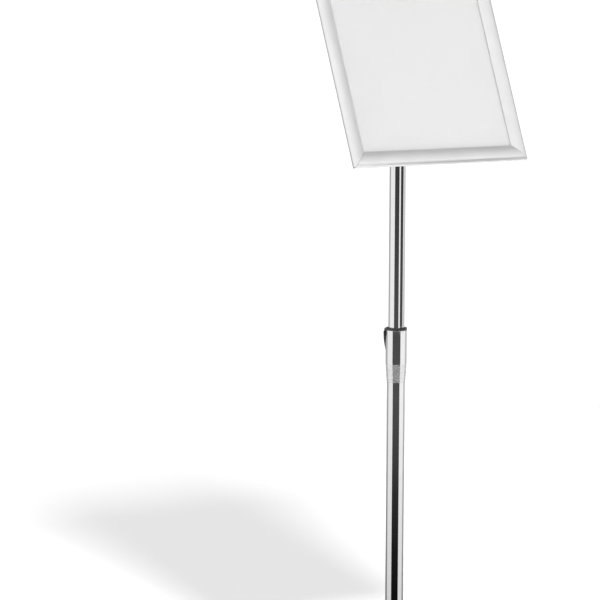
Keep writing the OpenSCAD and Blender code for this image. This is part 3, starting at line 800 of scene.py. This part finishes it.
def base():
    low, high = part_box("base_cover")
    half, bottom, top = high.x / MM, low.z / MM, high.z / MM
    profile = rounded([(0, bottom, 0.3), (0, bottom + 5.5, 3), (8, top, 10), (60, top)], 8)
    edge = [(d, z) for d, z in profile if d < 60]
    rings = [square_ring(half - d, 26 - d / 2, z) for d, z in edge]
    rings += [square_ring(half - 60, 30, top), circle_ring(LOWER_R + 6, top),
              circle_ring(LOWER_R + 0.4, top), circle_ring(LOWER_R + 0.4, top - COVER_SKIN),
              circle_ring(LOWER_R + 6, top - COVER_SKIN), square_ring(half - 60, 30, top - COVER_SKIN)]
    rings += [square_ring(half - d - COVER_SKIN, 26 - COVER_SKIN - d / 2, max(z - COVER_SKIN, bottom))
              for d, z in reversed(edge)]
    cover = build("base_cover_pressed", lambda shape: add_rings(shape, rings, closed=True))
    put(cover, SILVER_PAINT, "base_cover")

    low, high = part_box("base_rosette")
    foot, crown = low.z / MM, high.z / MM
    rosette = lathe("pole_rosette", rounded([
        (LOWER_R + 0.1, foot), (30, foot, 0.3), (30, foot + 1.2, 0.6), (26, foot + 3, 6),
        (LOWER_R + 4, foot + 5, 5), (LOWER_R + 1.6, crown, 0.8), (LOWER_R + 0.1, crown, 0.4)], 8),
        160)
    put(rosette, CHROME, "base_rosette")

    paint(ROLLED_STEEL, "base_weight", "tube_foot_plug")
    paint(ZINC, "base_bolt", "base_washer", "spring_washer", "foot_screws")
    spread = (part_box("rubber_feet")[1].x / MM) - 11
    for i, (x, y) in enumerate(((1, 1), (-1, 1), (-1, -1), (1, -1))):
        foot_piece = lathe(f"rubber_foot_{i + 1}", rounded([
            (5.5, 0, 0.4), (10, 0, 0.8), (10.8, 1.2, 0.5), (10.8, 4.4, 0.5), (10, 6), (2.1, 6),
            (2.1, 3.6), (5.5, 3.6)]), 72)
        place = Matrix.Translation((x * spread * MM, y * spread * MM, 0))
        if i == 0:
            put(foot_piece, FOOT_RUBBER, "rubber_feet", place=place)
        else:
            add_to(foot_piece, FOOT_RUBBER, "rubber_feet", place=place)


# ------------------------------------------------------------------ studio

CAMERA_AT = Vector((-3.1645, -4.3347, 1.288))
CAMERA_HEADING = math.radians(34.54)
CAMERA_DOWN = math.radians(6.555)
CAMERA_ROLL = math.radians(0.306)
LENS = 210.0
SENSOR = 36.0
KEY_AT = Vector((-0.53, -1.273, 2.1))
KEY_SIZE = 0.34
KEY_POWER = 240
FLOOR_R = 3600.0
FLOOR_TONE = 0.685
SKY_STRENGTH = 1.15
KEY_AIM = Vector((0.4, 0.9, 0))
CARD_R = 450
CARD_SPLIT = 574
CARD_TOP = 900
SKY_R = 9.0
SKY_DEEP = Vector((0.55, 0.53, 0.65))


def camera():
    heading = Vector((math.sin(CAMERA_HEADING), math.cos(CAMERA_HEADING), 0))
    forward = heading * math.cos(CAMERA_DOWN) - Vector((0, 0, math.sin(CAMERA_DOWN)))
    right = forward.cross(Vector((0, 0, 1))).normalized()
    up = right.cross(forward)
    rolled_right = right * math.cos(CAMERA_ROLL) + up * math.sin(CAMERA_ROLL)
    rolled_up = up * math.cos(CAMERA_ROLL) - right * math.sin(CAMERA_ROLL)
    data = bpy.data.cameras.new("camera")
    data.lens = LENS
    data.sensor_width = SENSOR
    data.clip_end = 500
    seen_from = bpy.data.objects.new("camera", data)
    axes = Matrix((rolled_right, rolled_up, -forward)).transposed().to_4x4()
    seen_from.matrix_world = Matrix.Translation(CAMERA_AT) @ axes
    bpy.context.scene.collection.objects.link(seen_from)
    bpy.context.scene.camera = seen_from


def floor():
    """A plain pale floor of one tone; past its edge there is only the white sky."""
    ground = lathe("studio_floor", [(0, -50), (FLOOR_R, -50), (FLOOR_R, 0), (0, 0)], 192)
    finish = Finish("studio_white", grey(FLOOR_TONE), 0.0, 1.0)
    finish.set(Specular_IOR_Level=0.0)
    ground.data.materials.append(finish.material)
    return ground


def glow(name, along, tones, start=0.0, end=1.0):
    """A glow graded along a direction: pairs of distance in metres and tone."""
    material = bpy.data.materials.new(name)
    material.use_nodes = True
    nodes, links = material.node_tree.nodes, material.node_tree.links
    nodes.clear()
    place = nodes.new("ShaderNodeTexCoord")
    along_it = nodes.new("ShaderNodeVectorMath")
    along_it.operation = "DOT_PRODUCT"
    along_it.inputs[1].default_value = along
    links.new(place.outputs["Object"], along_it.inputs[0])
    ranged = nodes.new("ShaderNodeMapRange")
    ranged.inputs["From Min"].default_value = start
    ranged.inputs["From Max"].default_value = end
    links.new(along_it.outputs["Value"], ranged.inputs["Value"])
    ramp = nodes.new("ShaderNodeValToRGB")
    elements = ramp.color_ramp.elements
    for i, (distance, tone) in enumerate(tones):
        position = (distance - start) / (end - start)
        element = elements[i] if i < 2 else elements.new(position)
        element.position = position
        element.color = (*grey(tone), 1)
    links.new(ranged.outputs["Result"], ramp.inputs["Fac"])
    lamp = nodes.new("ShaderNodeEmission")
    links.new(ramp.outputs["Color"], lamp.inputs["Color"])
    out = nodes.new("ShaderNodeOutputMaterial")
    links.new(lamp.outputs["Emission"], out.inputs["Surface"])
    return material


def only_in_mirrors(piece, material):
    """A studio card that shows in glossy reflections and nowhere else."""
    piece.data.materials.append(material)
    piece.visible_camera = False
    piece.visible_diffuse = False
    piece.visible_shadow = False
    piece.visible_transmission = False


def card_in_mirror(name, start, end, radius, low, high, tones):
    """A curved card round the pole that only mirrors see. Angles are from the camera."""
    to_camera = Vector((-math.sin(CAMERA_HEADING), -math.cos(CAMERA_HEADING)))
    to_right = Vector((math.cos(CAMERA_HEADING), -math.sin(CAMERA_HEADING)))

    def make(shape):
        steps = 24
        rings = []
        for z in (low, high):
            ring = []
            for i in range(steps + 1):
                a = math.radians(start + (end - start) * i / steps)
                spot = (to_camera * math.cos(a) + to_right * math.sin(a)) * radius
                ring.append((spot.x, spot.y, z))
            rings.append([shape.verts.new(p) for p in ring])
        for i in range(steps):
            shape.faces.new((rings[0][i], rings[0][i + 1], rings[1][i + 1], rings[1][i]))
    metres = [(z * MM, tone) for z, tone in tones]
    only_in_mirrors(build(name, make), glow(name, (0, 0, 1), metres))


def mirror_sky():
    """A sky for the satin metal: bright in front and low, deeper above and to the right."""
    def make(shape):
        bmesh.ops.create_icosphere(shape, subdivisions=4, radius=SKY_R / MM)
    tones = [(-1, 1.2), (-0.3, 1.22), (0.2, 1.16), (0.5, 0.95), (0.62, 0.66), (0.75, 0.45),
             (0.9, 0.3), (1, 0.26)]
    toward = SKY_DEEP.normalized() / SKY_R
    only_in_mirrors(build("mirror_sky", make), glow("mirror_sky", toward, tones, -1, 1))


def cards():
    """Dark cards before the pole and light ones beside it, which draw the chrome's bands."""
    front = [(100, 0.006), (200, 0.014), (290, 0.034), (370, 0.07), (460, 0.105), (620, 0.085),
             (840, 0.055)]
    left = [(100, 0.25), (300, 0.42), (500, 0.56), (700, 0.56)]
    right = [(100, 0.3), (300, 0.5), (500, 0.7), (700, 0.78)]
    light = [(100, 0.9), (300, 1.08), (450, 1.18), (800, 1.19)]
    bright = [(100, 0.97), (300, 1.15), (450, 1.27), (800, 1.28)]
    card_in_mirror("card_front_low", -41, 45, CARD_R - 4, -100, CARD_SPLIT, front)
    card_in_mirror("card_front_high", -36, 27, CARD_R, CARD_SPLIT, CARD_TOP, front)
    card_in_mirror("card_side_high", 47, 92, CARD_R, CARD_SPLIT, CARD_TOP, front)
    card_in_mirror("card_light_left", -108, -36, CARD_R, -100, CARD_TOP, light)
    card_in_mirror("card_light_right", 43, 108, CARD_R, -100, CARD_SPLIT, bright)
    card_in_mirror("card_back_left", -160, -108, CARD_R, 0, CARD_TOP, left)
    card_in_mirror("card_back_right", 108, 165, CARD_R, 0, CARD_TOP, right)

    # A mid-grey glowing ring round the foot of the pole that only mirrors see: a painted darker floor in the
    # metal's reflections.
    def make(shape):
        rings = [[shape.verts.new(p) for p in circle_ring(r, 2)] for r in (215, CARD_R)]
        for i in range(len(rings[0])):
            j = (i + 1) % len(rings[0])
            shape.faces.new((rings[0][i], rings[0][j], rings[1][j], rings[1][i]))
    only_in_mirrors(build("card_floor", make), glow("card_floor", (0, 0, 1), [(0, 0.5), (1, 0.5)]))


def lights(ground):
    """An even white sky, and a soft key that draws the sign's shadow on the floor."""
    world = bpy.data.worlds.new("studio")
    world.use_nodes = True
    sky = world.node_tree.nodes["Background"]
    sky.inputs["Color"].default_value = (1, 1, 1, 1)
    sky.inputs["Strength"].default_value = SKY_STRENGTH
    bpy.context.scene.world = world
    data = bpy.data.lights.new("key", "AREA")
    data.shape = "DISK"
    data.size = KEY_SIZE
    data.energy = KEY_POWER
    key = bpy.data.objects.new("key", data)
    away = (KEY_AT - KEY_AIM).normalized()
    key.matrix_world = (Matrix.Translation(KEY_AT)
                        @ away.to_track_quat("Z", "Y").to_matrix().to_4x4())
    key.visible_glossy = False
    bpy.context.scene.collection.objects.link(key)
    floor_only = bpy.data.collections.new("lit_by_key")
    floor_only.objects.link(ground)
    key.light_linking.receiver_collection = floor_only


def studio():
    view = bpy.context.scene.view_settings
    view.view_transform = "Standard"
    view.look = "None"
    camera()
    ground = floor()
    mirror_sky()
    cards()
    lights(ground)


sign_frame()
mast_head()
tilt_head()
knob()
tubes()
clamp()
lever()
base()
studio()
